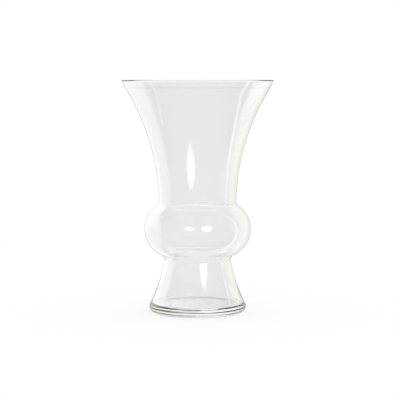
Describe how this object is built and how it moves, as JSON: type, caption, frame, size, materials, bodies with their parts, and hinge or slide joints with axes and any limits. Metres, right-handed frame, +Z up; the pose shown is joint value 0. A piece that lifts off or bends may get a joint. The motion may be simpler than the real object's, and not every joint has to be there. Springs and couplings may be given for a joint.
{
  "type": "hyacinth forcing vase",
  "caption": "Clear blown-glass forcing vase: a flared bowl on a round bulb cup and a flared hollow foot with a thick base, holding a bulb above water.",
  "frame": {"origin": "centre of the standing ring, on the surface that the vase stands on", "axes": "+Z up along the vase's axis of turning; X and Y are free, because the vase is round"},
  "size_m": [0.1302, 0.1302, 0.2],
  "materials": {
    "clear_glass": "clear colourless blown soda-lime glass, fire-polished"
  },
  "bodies": {
    "root": {"flared_bowl": "clear_glass", "bulb_cup": "clear_glass", "flared_foot": "clear_glass", "thick_base": "clear_glass"}
  },
  "joints": []
}
